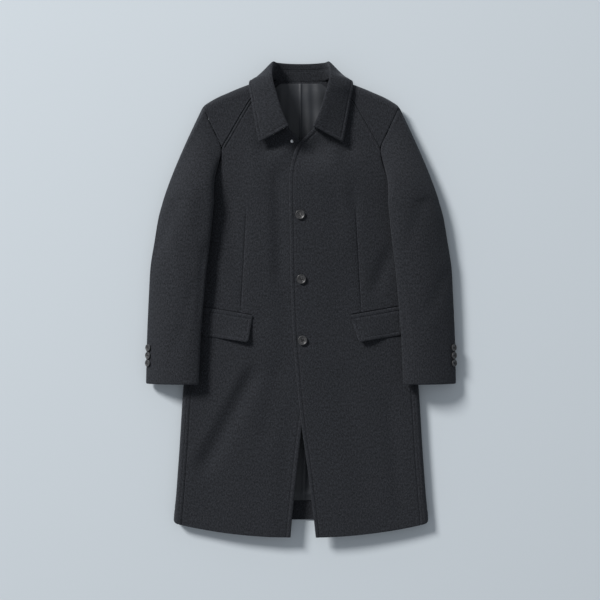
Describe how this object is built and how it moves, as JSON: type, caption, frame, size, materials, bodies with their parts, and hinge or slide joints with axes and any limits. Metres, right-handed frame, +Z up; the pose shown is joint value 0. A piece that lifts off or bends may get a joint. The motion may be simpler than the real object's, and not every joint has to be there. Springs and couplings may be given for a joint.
{
  "type": "overcoat",
  "caption": "Knee-length single-breasted wool overcoat with point collar, diagonal yoke seams and flap pockets, laid flat on its back.",
  "frame": {"origin": "on the surface that the coat lies on, under the middle of its outline", "axes": "+X towards the wearer's left, +Y from the hem to the collar, +Z up from the surface"},
  "size_m": [0.7292, 1.1104, 0.0729],
  "materials": {
    "charcoal_wool": "matte",
    "grey_satin": "satin",
    "black_horn": "semi-gloss",
    "bright_steel": "polished"
  },
  "bodies": {
    "root": {"back": "charcoal_wool", "back_lining": "grey_satin", "front_left": "charcoal_wool", "front_right": "charcoal_wool", "yoke_left": "charcoal_wool", "yoke_right": "charcoal_wool", "top_sleeve_left": "charcoal_wool", "top_sleeve_right": "charcoal_wool", "under_sleeve_left": "charcoal_wool", "under_sleeve_right": "charcoal_wool", "collar_stand": "charcoal_wool", "collar_fall": "charcoal_wool", "pocket_flap_left": "charcoal_wool", "pocket_flap_right": "charcoal_wool", "pocket_welt_left": "charcoal_wool", "pocket_welt_right": "charcoal_wool", "front_button_1": "black_horn", "front_button_2": "black_horn", "front_button_3": "black_horn", "cuff_button_left_1": "black_horn", "cuff_button_left_2": "black_horn", "cuff_button_left_3": "black_horn", "cuff_button_right_1": "black_horn", "cuff_button_right_2": "black_horn", "cuff_button_right_3": "black_horn", "neck_snap": "bright_steel"}
  },
  "joints": []
}
